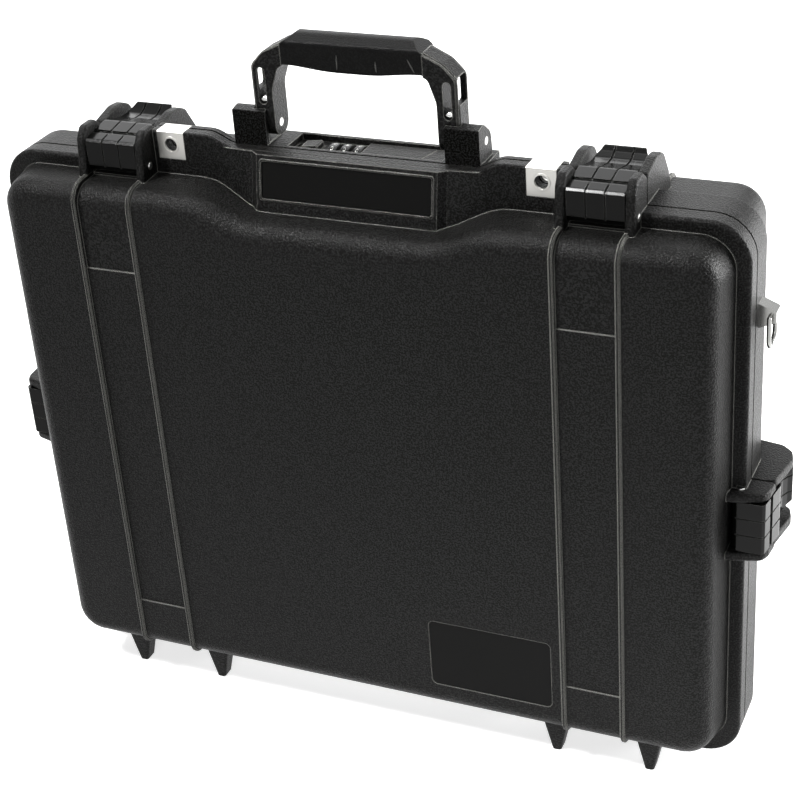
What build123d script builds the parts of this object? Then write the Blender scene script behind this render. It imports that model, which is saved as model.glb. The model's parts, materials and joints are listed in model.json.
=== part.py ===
"""Hard case for a laptop: two moulded shells on a pinned hinge, four lever latches,
a folding handle, a three-dial lock, padlock plates, strap rings and cut foam.

The case stands on its hinge side, as it does when it is put down by its handle.
X runs along the case, Y from the lid's face to the back of the base, Z up.
The origin is on the ground, midway between the sides and between the two faces.
Sizes are in millimetres. "Behind" means a distance behind the lid's front face.
"""

from build123d import *
import math
import os

os.makedirs("parts", exist_ok=True)

# ---------------------------------------------------------------- driving sizes
# Cavity and walls
cavity_half_width = 235.0
cavity_bottom = 37.0
cavity_height = 337.0
cavity_corner = 17.0
cavity_round = 7.0
wall = 4.5
side_margin = 13.0
bottom_margin = 14.3
top_margin = 20.5

# Shells
side_step = 6.8
top_step = 8.0
bottom_step = 10.0
rim_corner = 26.0
rim_round = 2.5
seam_bevel = 0.7
lid_depth = 44.0
base_depth = 78.0
lid_band = 13.5
base_band = 26.0
side_draft = 7.5
base_side_draft = 4.5
top_draft = 2.5
bottom_draft = 6.0
dome_corner = 22.0
face_corner = 20.0
edge_round = 13.0

# Raised rim between the top latches, and the dip in its middle
raised_rise = 20.5
saddle_rise = 13.5
saddle_run = 14.0
saddle_round = 18.0
dip_depth = 13.5
dip_run = 32.0
dip_round = 50.0
raised_wall = 8.6

# Ribs on both faces, in line with the latch ears
rib_spacing = 40.6
rib_shift = -0.55
rib_width = 3.0
rib_height = 1.7
rib_crest = 1.6
strip_upper_gap = 66.8
strip_lower_gap = 55.4
strip_upper_depth = 1.6
strip_middle_depth = 0.8

# Seal
seal_groove_offset = 8.5
seal_groove_width = 5.0
seal_groove_depth = 4.0
seal_clearance = 0.25
tongue_width = 2.4
tongue_height = 1.2

# Hinge
hinge_centre = 164.4
hinge_drop = 6.4
hinge_pin_radius = 2.2
knuckle_radius = 5.4
lid_knuckle_length = 26.0
base_knuckle_length = 12.0
hinge_pin_length = 50.0
knuckle_gap = 0.4
running_clearance = 0.05

# Feet
foot_spacing = 66.1
foot_width = 18.0
foot_tip = 6.5
lid_foot_behind = 19.5
base_foot_from_seam = 56.0
foot_depth = 15.0

# Latches
latch_centre = 163.65
ear_thickness = 6.4
lid_ear_round = 2.2
base_ear_round = 1.3
top_pin_from_seam = 16.5
side_pin_from_seam = 12.5
top_pin_sink = 1.0
side_pin_sink = 3.3
side_latch_height = 200.0
latch_pin_radius = 2.4
latch_barrel = 5.8
lever_width = 36.0
thumb_width = 34.0
lever_skin = 2.6
block_groove = 0.9
claw_width = 14.0
claw_pin_radius = 1.5
latch_gap = 36.8
claw_pin_reach = 18.0
claw_pin_rise = 12.3
catch_reach = 32.0
catch_rise = 9.5

# Padlock plates
padlock_inset = 13.0
padlock_drop = 9.0
padlock_radius = 4.4
padlock_lip = 1.3
plate_width = 19.1
plate_height = 18.6
plate_thickness = 1.2
padlock_wall = 5.0

# Name block, name plate and label
block_half_width = 61.5
block_chamfer = 5.0
block_flare = 35.5
block_foot = 23.0
block_head = 30.0
name_margin = 3.5
name_height = 24.0
name_depth = 1.6
name_rim = 1.2
label_centre = (90.9, 74.1)
label_size = (87.0, 52.8)
label_depth = 0.9
label_corner = 4.0
plate_gap = 0.3

# Handle
post_inner = 60.9
post_width = 22.7
post_setback = 0.5
post_rise = 24.0
post_wall = 3.8
handle_pin_from_seam = 13.0
handle_pin_rise = 12.0
handle_pin_radius = 2.5
leg_inset = 13.8
leg_width = 14.3
leg_gap = 0.4
leg_foot = 8.2
leg_depth = 18.3
leg_sink = 11.0
leg_slot = 5.4
grip_rise = 57.0
grip_thickness = 19.8
grip_depth = 24.0
grip_inset = 8.0
core_height = 9.0

# Console with the lock, on the base between the handle posts
console_margin = 2.4
console_depth = 28.0
lock_left = -48.0
lock_right = 57.5
lock_setback = 3.5
lock_depth = 22.0
lock_sink = 4.0
lock_height = 15.5
panel_left = 1.2
panel_sink = 1.5
panel_joint = 45.0
dial_radius = 9.0
dial_width = 5.5
dial_pitch = 8.7
dial_first = -20.5
dial_sink = 5.8
dial_shaft_radius = 1.5
dial_shaft_length = 26.0
slider_length = 13.0
slider_left = -41.5
slider_travel = 5.0
slider_depth = 12.0
slider_pocket = 9.0
slider_setback = 9.0
bolt_radius = 2.0
bolt_length = 2.6
bolt_sink = 6.0
hasp_gap = 0.6
hasp_thickness = 1.6
hasp_height = 7.5
hasp_foot = 9.0
hasp_foot_height = 11.0

# Strap rings
ring_height = 335.0
ring_from_seam = 12.0
ring_wire = 1.5
ring_stand = 7.2
ring_drop = 13.0
bracket_length = 11.0
bracket_height = 16.0
bracket_sink = 1.0

# Purge valve
valve_x = 112.0
valve_from_seam = 48.0
valve_radius = 11.0
valve_stem = 5.5
valve_stand = 0.5

# Foam
foam_gap = 0.5
pocket_size = (396.0, 276.0)
pocket_corner = 18.0
pocket_depth = 42.0

# ------------------------------------------------------------- worked-out places
total_depth = lid_depth + base_depth
front_y = -total_depth / 2
seam_y = front_y + lid_depth
back_y = total_depth / 2
cavity_top = cavity_bottom + cavity_height
dome_half_width = cavity_half_width + side_margin
rim_half_width = dome_half_width + side_step
rim_bottom = cavity_bottom - bottom_margin - bottom_step
rim_top = cavity_top + top_margin + top_step
rim_height = rim_top - rim_bottom
rim_middle = (rim_top + rim_bottom) / 2
raised_top = rim_top + raised_rise
saddle_top = rim_top + saddle_rise
raised_half_width = latch_centre - latch_gap / 2 - ear_thickness + 0.15
strip_centre = latch_centre + rib_shift
rib_inner = strip_centre - rib_spacing / 2
rib_outer = strip_centre + rib_spacing / 2
strip_upper_ledge = rim_top - strip_upper_gap
strip_lower_ledge = rim_bottom + strip_lower_gap
hinge_y = seam_y
hinge_height = rim_bottom - hinge_drop
base_foot_behind = lid_depth + base_foot_from_seam
top_pin_behind = lid_depth - top_pin_from_seam
side_pin_behind = lid_depth - side_pin_from_seam
top_latch_pin = rim_top - top_pin_sink
side_latch_pin = rim_half_width - side_pin_sink
padlock_x = raised_half_width - padlock_inset
padlock_height = raised_top - padlock_drop
name_width = 2 * (block_half_width - name_margin)
block_root = block_half_width + block_flare
dip_end = block_half_width + 4.5
dip_start = dip_end + dip_run
post_outer = post_inner + post_width
post_front = lid_depth + post_setback
post_top = saddle_top + post_rise
saddle_end = post_outer + 0.4
saddle_start = saddle_end + saddle_run
handle_pin_behind = lid_depth + handle_pin_from_seam
handle_pin_height = saddle_top + handle_pin_rise
leg_outer = post_outer - leg_inset
leg_inner = leg_outer - leg_width
leg_front = post_front + post_wall + leg_gap
leg_floor = handle_pin_height - leg_sink
grip_top = handle_pin_height + grip_rise
grip_bottom = grip_top - grip_thickness
grip_half_width = leg_inner - grip_inset
core_middle = (grip_top + grip_bottom) / 2 + 1.0
console_half_width = post_outer + console_margin
lock_front = lid_depth + lock_setback
lock_back = lock_front + lock_depth
lock_face = saddle_top - lock_sink
lock_floor = lock_face - lock_height
panel_top = saddle_top - panel_sink
dial_behind = (lock_front + lock_back) / 2
dial_height = lock_face - dial_sink
slider_behind = lock_front + slider_setback
slider_right = slider_left + slider_length
bolt_height = lock_face - bolt_sink
hasp_x = slider_right + hasp_gap + hasp_thickness / 2
hasp_z = bolt_height
hasp_reach = slider_behind - lid_depth + bolt_radius + 2.5
ring_behind = lid_depth + ring_from_seam
valve_behind = lid_depth + valve_from_seam
valve_seat = top_margin + valve_stand


def behind(distance):
    """Y of a plane this far behind the lid's front face."""
    return front_y + distance


def facing_front(y):
    """Sketch plane across the case at y; local x is X, local y is Z, normal to the front."""
    return Plane(origin=(0, y, 0), x_dir=(1, 0, 0), z_dir=(0, -1, 0))


def side_plane(x):
    """Sketch plane along the case's depth at x; local x is Y, local y is Z, normal +X."""
    return Plane(origin=(x, 0, 0), x_dir=(0, 1, 0), z_dir=(1, 0, 0))


def save(solid, name):
    """Label one finished piece and write its file."""
    solid.label = name
    export_step(solid, f"parts/{name}.step")


# ------------------------------------------------------------------ shell blanks
def dome_outline(half_width, bottom, top, corner, dip):
    """Face outline of a shell's dome: a rounded rectangle with a shallow dip at the top."""
    with BuildSketch() as outline:
        with Locations((0, (top + bottom) / 2)):
            RectangleRounded(2 * half_width, top - bottom, corner)
        if dip:
            with BuildLine():
                Polyline(
                    (-dip_start, top + 1),
                    (-dip_start, top),
                    (-dip_end, top - dip_depth),
                    (dip_end, top - dip_depth),
                    (dip_start, top),
                    (dip_start, top + 1),
                    close=True,
                )
            make_face(mode=Mode.SUBTRACT)
            bends = [
                v
                for v in outline.vertices()
                if abs(v.X) < dip_start + 1 and v.Y > top - dip_depth - 1
            ]
            fillet(bends, dip_round)
    return outline.sketch


def dome(face_y, root_y, dip, grow=0.0, draft=side_draft):
    """Drafted dome from the shell's rim to its face, with a rounded face edge."""
    toward_face = 1 if root_y > face_y else -1
    face_plane = Plane(
        origin=(0, face_y - toward_face * grow, 0), x_dir=(1, 0, 0), z_dir=(0, -1, 0)
    )
    root_plane = Plane(origin=(0, root_y, 0), x_dir=(1, 0, 0), z_dir=(0, -1, 0))
    root_half = dome_half_width
    root_outline = dome_outline(
        root_half + grow,
        rim_bottom + bottom_step - grow,
        rim_top - top_step + grow,
        dome_corner + grow,
        dip,
    )
    face_outline = dome_outline(
        root_half - draft + grow,
        rim_bottom + bottom_step + bottom_draft - grow,
        rim_top - top_step - top_draft + grow,
        face_corner + grow,
        dip,
    )
    with BuildPart() as body:
        with BuildSketch(root_plane):
            add(root_outline)
        with BuildSketch(face_plane):
            add(face_outline)
        loft(ruled=True)
        face = body.faces().sort_by(Axis.Y)[0 if toward_face > 0 else -1]
        fillet(face.edges(), edge_round)
    return body.part


def raised_outline():
    """Outline of the rim's raised middle, high at both ends and lower between."""
    with BuildSketch() as outline:
        with BuildLine():
            Polyline(
                (-raised_half_width, rim_top - 10),
                (-raised_half_width, raised_top),
                (-saddle_start, raised_top),
                (-saddle_end, saddle_top),
                (saddle_end, saddle_top),
                (saddle_start, raised_top),
                (raised_half_width, raised_top),
                (raised_half_width, rim_top - 10),
                close=True,
            )
        make_face()
        bends = [v for v in outline.vertices() if abs(v.X) < saddle_start + 1]
        fillet(bends, saddle_round)
    return outline.sketch


def rim_slab(y_front, y_back):
    """Flat band of the rim between two planes."""
    with BuildPart() as slab:
        with BuildSketch(facing_front(y_back)):
            with Locations((0, rim_middle)):
                RectangleRounded(2 * rim_half_width, rim_height, rim_corner)
        extrude(amount=y_back - y_front)
        for side in (0, -1):
            face = slab.faces().sort_by(Axis.Y)[side]
            if abs(face.center().Y - seam_y) < 0.01:
                chamfer(face.edges(), seam_bevel)
            else:
                fillet(face.edges(), rim_round)
    return slab.part


def raised_slab(y_front, y_back):
    """Raised middle of the rim between two planes."""
    with BuildPart() as slab:
        with BuildSketch(facing_front(y_back)):
            add(raised_outline())
        extrude(amount=y_back - y_front)
        for side in (0, -1):
            face = slab.faces().sort_by(Axis.Y)[side]
            crest = [edge for edge in face.edges() if edge.center().Z > rim_top - 9]
            if abs(face.center().Y - seam_y) < 0.01:
                chamfer(crest, seam_bevel)
            elif y_back - y_front > 2.5 * rim_round:
                fillet([edge for edge in crest if abs(edge.center().X) < raised_half_width - 0.1], rim_round * 0.6)
    return slab.part


def cavity(y_mouth, y_floor):
    """Inside of a shell, with a rounded floor edge."""
    with BuildPart() as hollow:
        with BuildSketch(facing_front(max(y_mouth, y_floor))):
            with Locations((0, (cavity_top + cavity_bottom) / 2)):
                RectangleRounded(
                    2 * cavity_half_width, cavity_top - cavity_bottom, cavity_corner
                )
        extrude(amount=abs(y_mouth - y_floor))
        floor = hollow.faces().sort_by(Axis.Y)[0 if y_floor < y_mouth else -1]
        fillet(floor.edges(), cavity_round)
    return hollow.part


def ring_outline(offset_from_cavity, width):
    """Closed band that runs round the cavity at one offset."""
    middle = (cavity_top + cavity_bottom) / 2
    half = cavity_half_width + offset_from_cavity
    height = cavity_top - cavity_bottom + 2 * offset_from_cavity
    corner = cavity_corner + offset_from_cavity
    with BuildSketch() as band:
        with Locations((0, middle)):
            RectangleRounded(2 * half + width, height + width, corner + width / 2)
            RectangleRounded(
                2 * half - width, height - width, corner - width / 2, mode=Mode.SUBTRACT
            )
    return band.sketch


def strip_box(y_low, y_high, z_low, z_high, centre):
    """Box over the strip between one pair of ribs."""
    with BuildPart() as box:
        with Locations((centre, (y_low + y_high) / 2, (z_low + z_high) / 2)):
            Box(rib_outer - rib_inner - rib_width, y_high - y_low, z_high - z_low)
    return box.part


def foot(centre_x, centre_behind):
    """Tapered lug that the case stands on."""
    with BuildPart() as lug:
        with BuildSketch(Plane.XY):
            with Locations((centre_x, behind(centre_behind))):
                RectangleRounded(foot_tip, foot_depth - 4, 2)
        with BuildSketch(Plane.XY.offset(rim_bottom + bottom_step + bottom_draft + 4)):
            with Locations((centre_x, behind(centre_behind))):
                RectangleRounded(foot_width + 3, foot_depth, 2)
        loft(ruled=True)
    return lug.part


def knuckle(centre_x, length, root_y):
    """Hinge barrel with a web up to its own shell's rim, clear of the other shell."""
    toward_root = 1 if root_y > hinge_y else -1
    with BuildPart() as barrel:
        with BuildSketch(side_plane(centre_x - length / 2)):
            with Locations((hinge_y, hinge_height)):
                Circle(knuckle_radius)
            with BuildLine():
                Polyline(
                    (hinge_y - toward_root * (knuckle_radius - 0.6), hinge_height),
                    (hinge_y + toward_root * knuckle_radius, hinge_height),
                    (root_y, rim_bottom + 1),
                    (hinge_y + toward_root * 0.4, rim_bottom + 1),
                    (hinge_y + toward_root * 0.4, rim_bottom - 0.8),
                    close=True,
                )
            make_face()
        extrude(amount=length)
    return barrel.part


# ------------------------------------------------------------------------ latches
# A latch is drawn once in its own frame: u runs back from the pivot pin across
# the seam, h runs out from the pin, away from the case, and w along the pin.
def latch_plane(site, w):
    """Sketch plane of one latch: local x is u, local y is h, at w along its pin."""
    if site["side"] == "top":
        return Plane(
            origin=(site["centre"] + w, behind(site["behind"]), top_latch_pin),
            x_dir=(0, 1, 0),
            z_dir=(1, 0, 0),
        )
    direction = 1 if site["side"] == "right" else -1
    return Plane(
        origin=(direction * side_latch_pin, behind(site["behind"]), side_latch_height - direction * w),
        x_dir=(0, 1, 0),
        z_dir=(0, 0, -direction),
    )


def rounded_outline(points, rounds):
    """Closed face with chosen corners rounded; rounds maps a corner's number to its radius."""
    corners = []
    for number, point in enumerate(points):
        here = Vector(*point)
        radius = rounds.get(number, 0)
        if not radius:
            corners.append((here, None, here))
            continue
        to_before = (Vector(*points[number - 1]) - here).normalized()
        to_after = (Vector(*points[(number + 1) % len(points)]) - here).normalized()
        half = math.radians(to_before.get_angle(to_after)) / 2
        reach = radius / math.tan(half)
        middle = here + (to_before + to_after).normalized() * (radius / math.sin(half) - radius)
        corners.append((here + to_before * reach, middle, here + to_after * reach))
    with BuildSketch() as outline:
        with BuildLine():
            for number, (start, middle, end) in enumerate(corners):
                if middle is not None:
                    ThreePointArc(start, middle, end)
                Line(end, corners[(number + 1) % len(corners)][0])
        make_face()
    return outline.sketch


def prism(site, points, width, rounds={}, middle=0.0):
    """Extrude a (u, h) outline across a latch."""
    with BuildPart() as body:
        with BuildSketch(latch_plane(site, middle - width / 2)):
            add(rounded_outline(points, rounds))
        extrude(amount=width)
    return body.part


def rod(site, u, h, radius, length, middle=0.0):
    """Round bar along a latch's pin direction."""
    with BuildPart() as bar:
        with BuildSketch(latch_plane(site, middle - length / 2)):
            with Locations((u, h)):
                Circle(radius)
        extrude(amount=length)
    return bar.part


top_site = {
    "side": "top",
    "behind": top_pin_behind,
    "rim": rim_top - top_latch_pin,
    "lid_ear": [(-10.5, -9.5), (-8.0, 4.5), (-6.8, 16.5), (-1.5, 24.0), (10.5, 24.0), (16.3, 19.5), (16.3, -9.5)],
    "lid_ear_rounds": {1: 8.0, 2: 5.0, 3: 5.0, 4: 4.0},
    "base_ear": [(16.7, -12.0), (16.7, 14.5), (18.8, 19.8), (36.0, 23.7), (46.0, 22.7), (53.0, 19.3), (63.3, 4.5), (69.3, -12.0)],
    "base_ear_rounds": {2: 2.5, 3: 12.0, 4: 10.0, 5: 8.0, 6: 8.0},
}
side_site = {
    "side": "right",
    "behind": side_pin_behind,
    "rim": rim_half_width - side_latch_pin,
    "lid_ear": [(-9.8, -11.0), (-9.0, -2.0), (-4.0, 15.5), (2.0, 18.0), (12.3, 19.0), (12.3, -11.0)],
    "lid_ear_rounds": {1: 8.0, 2: 6.0},
    "base_ear": [(12.7, -11.0), (12.7, 12.5), (15.4, 18.1), (43.2, 22.9), (52.5, 20.1), (58.8, 13.0), (61.6, -3.0), (62.8, -11.0)],
    "base_ear_rounds": {2: 3.0, 3: 12.0, 4: 6.0, 5: 6.0},
}
latch_sites = {
    "top_left": top_site | {"centre": -latch_centre},
    "top_right": top_site | {"centre": latch_centre},
    "side_left": side_site | {"side": "left"},
    "side_right": side_site,
}
ear_offset = (latch_gap + ear_thickness) / 2


def ear(site, kind, w):
    """Lug beside a latch: the lid's carries the pin, the base's guards the thumb pad."""
    points = site[kind]
    body = prism(site, points, ear_thickness, site[kind + "_rounds"], w)
    frame = latch_plane(site, w)
    seam_u = lid_depth - site["behind"] + (0.2 if kind == "base_ear" else -0.2)
    foot_h = points[0][1]
    with BuildPart() as lug:
        add(body)
        crest = []
        for edge in lug.edges():
            spot = frame.to_local_coords(edge.center())
            if abs(abs(spot.Z) - ear_thickness / 2) > 0.01:
                continue
            if abs(spot.X - seam_u) > 0.5 and abs(spot.Y - foot_h) > 0.5:
                crest.append(edge)
        fillet(crest, lid_ear_round if kind == "lid_ear" else base_ear_round)
    return lug.part


def catch(site):
    """Ridge across the base that a claw hooks behind."""
    floor = site["rim"]
    points = [
        (catch_reach - 6.5, floor - 1.0),
        (catch_reach - 6.5, floor + 0.5),
        (catch_reach - 3.5, catch_rise),
        (catch_reach - 1.1, catch_rise),
        (catch_reach, catch_rise - 3.0),
        (catch_reach, floor - 1.0),
    ]
    return prism(site, points, latch_gap + 1.0)


# Profile of a lever's top: grip blocks, a valley for the thumb and a raised lip
lever_crest = [(-6.0, 14.8), (-4.2, 16.6), (8.0, 18.5), (20.0, 20.3), (30.0, 17.6), (38.0, 15.8), (45.5, 15.6), (51.0, 18.0), (54.8, 20.8)]
lever_lip = [(58.6, 18.6), (57.6, 16.2), (54.8, 16.0)]


def lever_top(u):
    """Rise of the lever's top at u."""
    for (u_low, h_low), (u_high, h_high) in zip(lever_crest, lever_crest[1:]):
        if u <= u_high:
            break
    return h_low + (u - u_low) * (h_high - h_low) / (u_high - u_low)


def top_cut(u_low, u_high, depth):
    """Outline of a groove that follows a lever's top at one depth."""
    inner = [u for u, h in lever_crest if u_low < u < u_high]
    floor = [(u, lever_top(u) - depth) for u in [u_low] + inner + [u_high]]
    return [(u_low, 36.0)] + floor + [(u_high, 36.0)]


def lever_plan(site):
    """Block in the outline of a lever from above, narrower between the base's ears."""
    direction = {"top": (0, 0, 1), "right": (1, 0, 0), "left": (-1, 0, 0)}[site["side"]]
    pin = latch_plane(site, 0).origin
    frame = Plane(origin=pin, x_dir=(0, 1, 0), z_dir=direction)
    wide, narrow, tip = lever_width / 2, thumb_width / 2, lever_lip[0][0]
    corners = [(-9.0, -wide), (22.0, -wide), (24.0, -narrow), (47.0, -narrow), (tip + 0.2, 6.0 - narrow)]
    corners += [(u, -w) for u, w in reversed(corners)]
    with BuildPart() as block:
        with BuildSketch(frame.offset(-12)):
            add(rounded_outline(corners, {3: 10.0, 4: 5.0, 5: 5.0, 6: 10.0}))
        extrude(amount=50)
    return block.part


def latch_lever(site):
    """Lever of one latch, with blocks to grip and a thumb pad at its free end."""
    under = [(u, h - lever_skin) for u, h in reversed(lever_crest) if 9.0 < u < 48.0]
    points = [(-6.0, -1.0)] + lever_crest + lever_lip + under + [(9.5, 12.0), (5.6, 2.0), (5.6, -1.0)]
    rounds = {1: 0.8, 2: 1.0, 4: 5.0, 5: 9.0, 6: 6.0, 7: 6.0, 8: 4.0, 9: 1.6, 10: 1.4, 11: 1.0}
    with BuildPart() as lever:
        add(prism(site, points, lever_width, rounds))
        add(rod(site, 0, 0, latch_barrel, lever_width))
        for w in (-1, 1):
            cheek = [(6.0, 5.5), (9.0, 15.0), (24.0, 18.0), (24.0, 10.0), (21.5, 8.9), (12.0, 8.9)]
            width = thumb_width / 2 - claw_width / 2 - 0.3
            add(prism(site, cheek, width, {}, w * (thumb_width / 2 - width / 2)))
        add(lever_plan(site), mode=Mode.INTERSECT)
        for w in (-1, 1):
            # lengthwise grooves between the blocks, down the front face too
            groove = top_cut(-5.3, 60.0, block_groove)
            add(prism(site, groove, 1.2, {}, w * lever_width / 6), mode=Mode.SUBTRACT)
            front = [(-8.0, -3.0), (-8.0, 18.0), (-5.3, 18.0), (-5.3, -3.0)]
            add(prism(site, front, 0.8, {}, w * lever_width / 6), mode=Mode.SUBTRACT)
        # one wide and one narrow groove across
        add(prism(site, top_cut(3.6, 7.6, block_groove + 0.2), lever_width + 1), mode=Mode.SUBTRACT)
        add(prism(site, top_cut(20.6, 21.4, block_groove - 0.2), lever_width + 1), mode=Mode.SUBTRACT)
        add(rod(site, 0, 0, latch_pin_radius + running_clearance, lever_width + 2), mode=Mode.SUBTRACT)
        add(rod(site, claw_pin_reach, claw_pin_rise, claw_pin_radius, lever_width + 2), mode=Mode.SUBTRACT)
    return lever.part


def latch_claw(site):
    """Claw that hangs in the lever and hooks behind the catch on the base."""
    points = [
        (14.8, 9.3),
        (14.8, 15.3),
        (22.0, 15.0),
        (28.0, 13.4),
        (35.8, 12.3),
        (37.6, 11.0),
        (37.6, 7.0),
        (32.55, 7.0),
        (31.6, 9.9),
        (21.0, 9.9),
        (19.5, 9.3),
    ]
    with BuildPart() as claw:
        add(prism(site, points, claw_width, {0: 2.0, 1: 2.7}))
        add(rod(site, claw_pin_reach, claw_pin_rise, claw_pin_radius + running_clearance, claw_width + 2), mode=Mode.SUBTRACT)
    return claw.part


# ----------------------------------------------------------------- shared features
def ledge_skins(face_y, root_y, dip, draft):
    """What comes off a dome to recess the strips between its ribs in two steps."""
    inward = 1 if root_y > face_y else -1
    near, far = sorted((face_y - inward * 3, face_y + inward * 26))
    with BuildPart() as skins:
        for z_low, z_high, depth in (
            (strip_lower_ledge, strip_upper_ledge, strip_middle_depth),
            (strip_upper_ledge, rim_top + 5, strip_upper_depth),
        ):
            with BuildPart(mode=Mode.PRIVATE) as skin:
                for centre in (-strip_centre, strip_centre):
                    add(strip_box(near, far, z_low, z_high, centre))
                add(dome(face_y, root_y, dip, -depth, draft), mode=Mode.SUBTRACT)
            add(skin.part)
    return skins.part


def ribs(face_y, root_y, dip, draft):
    """Four ribs that follow a dome's surface, each with a narrower crest."""
    with BuildPart() as band:
        for width, height in ((rib_width, rib_height * 0.6), (rib_crest, rib_height)):
            with BuildPart(mode=Mode.PRIVATE) as layer:
                add(dome(face_y, root_y, dip, height, draft))
                with Locations(*[(x, 0, rim_middle) for x in (-rib_outer, -rib_inner, rib_inner, rib_outer)]):
                    Box(width, total_depth + 20, rim_height + 60, mode=Mode.INTERSECT)
            add(layer.part)
    return band.part


def latch_bores(length):
    """Pin holes of all four latches."""
    with BuildPart() as bores:
        for site in latch_sites.values():
            add(rod(site, 0, 0, latch_pin_radius, length))
    return bores.part


def padlock_cut(y_front, y_back, z_low):
    """Shallow seat of a folded padlock plate on both sides: a wall's face and its top."""
    with BuildPart() as seats:
        for x in (-padlock_x, padlock_x):
            with Locations((x, (y_front + y_back) / 2, (z_low + raised_top + 1) / 2)):
                Box(plate_width, abs(y_back - y_front), raised_top + 1 - z_low)
    return seats.part


def padlock_plate(x, face, seam, direction):
    """Steel plate folded over the top of a wall, with the padlock's hole through it."""
    outer = face - direction * (plate_thickness - 1.1)
    low = raised_top + 0.1 - plate_height
    high = raised_top + 0.1
    with BuildPart() as plate:
        with BuildSketch(side_plane(x - plate_width / 2)):
            with BuildLine():
                Polyline(
                    (outer, low),
                    (outer, high),
                    (seam, high),
                    (seam, high - plate_thickness),
                    (outer + direction * plate_thickness, high - plate_thickness),
                    (outer + direction * plate_thickness, low),
                    close=True,
                )
            make_face()
        extrude(amount=plate_width)
        bend = plate.edges().filter_by(Axis.X).sort_by_distance((x, outer, high))[0]
        fillet(bend, 1.0)
        with Locations((x, outer, padlock_height)):
            Cylinder(padlock_radius + padlock_lip, 0.8, rotation=(90, 0, 0))
            Cylinder(padlock_radius, 12, rotation=(90, 0, 0), mode=Mode.SUBTRACT)
    return plate.part


# --------------------------------------------------------------------------- lid
with BuildPart() as lid_blank:
    band_front = seam_y - lid_band
    wall_front = seam_y - raised_wall
    add(rim_slab(band_front, seam_y))
    # between the top latches the rim is set back, level with the raised wall
    with Locations((0, (band_front + wall_front) / 2 - 0.5, rim_top)):
        Box(2 * raised_half_width, wall_front - band_front + 1, 60, mode=Mode.SUBTRACT)
    add(raised_slab(wall_front, seam_y))
    add(dome(front_y, seam_y - 1, True))
    add(ledge_skins(front_y, seam_y - 1, True, side_draft), mode=Mode.SUBTRACT)
    add(ribs(front_y, seam_y - 1, True, side_draft))
    # name block: a shallow wedge that stands on the dip
    block_foot_z = rim_top - top_step - dip_depth - 6
    with BuildPart() as name_block:
        for z, front in ((block_foot_z, block_foot - 1.0), (saddle_top, block_head)):
            shoulder = front + block_chamfer * 0.8
            with BuildSketch(Plane.XY.offset(z)):
                with BuildLine():
                    Polyline(
                        (-block_half_width, behind(front)),
                        (block_half_width, behind(front)),
                        (block_half_width + block_chamfer, behind(shoulder)),
                        (block_root, wall_front + 0.5),
                        (-block_root, wall_front + 0.5),
                        (-block_half_width - block_chamfer, behind(shoulder)),
                        close=True,
                    )
                make_face()
        loft(ruled=True)
    add(name_block.part)
    for x in (-1, 1):
        for side in (-1, 1):
            add(foot(x * (hinge_centre + side * foot_spacing / 2), lid_foot_behind))
        add(knuckle(x * hinge_centre, lid_knuckle_length, seam_y - lid_band + 2))
    for site in latch_sites.values():
        for w in (-ear_offset, ear_offset):
            add(ear(site, "lid_ear", w))

block_tilt = math.atan2(block_head - block_foot + 1.0, saddle_top - block_foot_z)
name_middle = rim_top - 2.2
name_y = behind(block_foot - 1.0 + (name_middle - block_foot_z) * math.tan(block_tilt))
name_plane = Plane(
    origin=(0, name_y, name_middle),
    x_dir=(1, 0, 0),
    z_dir=(0, -math.cos(block_tilt), math.sin(block_tilt)),
)

with BuildPart() as lid_shell:
    add(lid_blank.part)
    add(cavity(seam_y, behind(wall)), mode=Mode.SUBTRACT)
    # narrow raised border round the name plate
    with BuildSketch(name_plane.offset(-1.0)):
        RectangleRounded(name_width + 2 * name_rim, name_height + 2 * name_rim, 1.8)
        RectangleRounded(name_width - 1, name_height - 1, 1.2, mode=Mode.SUBTRACT)
    extrude(amount=1.0 + 0.5)
    with BuildSketch(name_plane.offset(-name_depth)):
        RectangleRounded(name_width, name_height, 1.5)
    extrude(amount=name_depth + 3, mode=Mode.SUBTRACT)
    with BuildSketch(facing_front(front_y + label_depth)):
        with Locations(label_centre):
            RectangleRounded(*label_size, label_corner)
    extrude(amount=label_depth + 3, mode=Mode.SUBTRACT)
    with BuildSketch(facing_front(seam_y)):
        add(ring_outline(seal_groove_offset, seal_groove_width))
    extrude(amount=seal_groove_depth, mode=Mode.SUBTRACT)
    add(padlock_cut(wall_front - 2, wall_front + 1.1, raised_top + 0.1 - plate_height), mode=Mode.SUBTRACT)
    add(padlock_cut(wall_front - 2, seam_y + 1, raised_top - 1.1), mode=Mode.SUBTRACT)
    with Locations((-padlock_x, wall_front, padlock_height), (padlock_x, wall_front, padlock_height)):
        Cylinder(padlock_radius, 40, rotation=(90, 0, 0), mode=Mode.SUBTRACT)
    for site in latch_sites.values():
        pocket = [(-15.5, -latch_barrel - 1.0), (-15.5, 34.0), (9.5, 34.0), (9.5, -latch_barrel - 1.0)]
        add(prism(site, pocket, latch_gap), mode=Mode.SUBTRACT)
    add(latch_bores(latch_gap + 2 * ear_thickness + 4), mode=Mode.SUBTRACT)
    with Locations((-hinge_centre, hinge_y, hinge_height), (hinge_centre, hinge_y, hinge_height)):
        Cylinder(hinge_pin_radius + running_clearance, lid_knuckle_length + 2, rotation=(0, 90, 0), mode=Mode.SUBTRACT)
    # seat of the lock's hasp
    with Locations((hasp_x, seam_y, hasp_z)):
        Box(hasp_foot, 2 * hasp_thickness, hasp_foot_height, mode=Mode.SUBTRACT)
save(lid_shell.part, "lid_shell")

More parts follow.
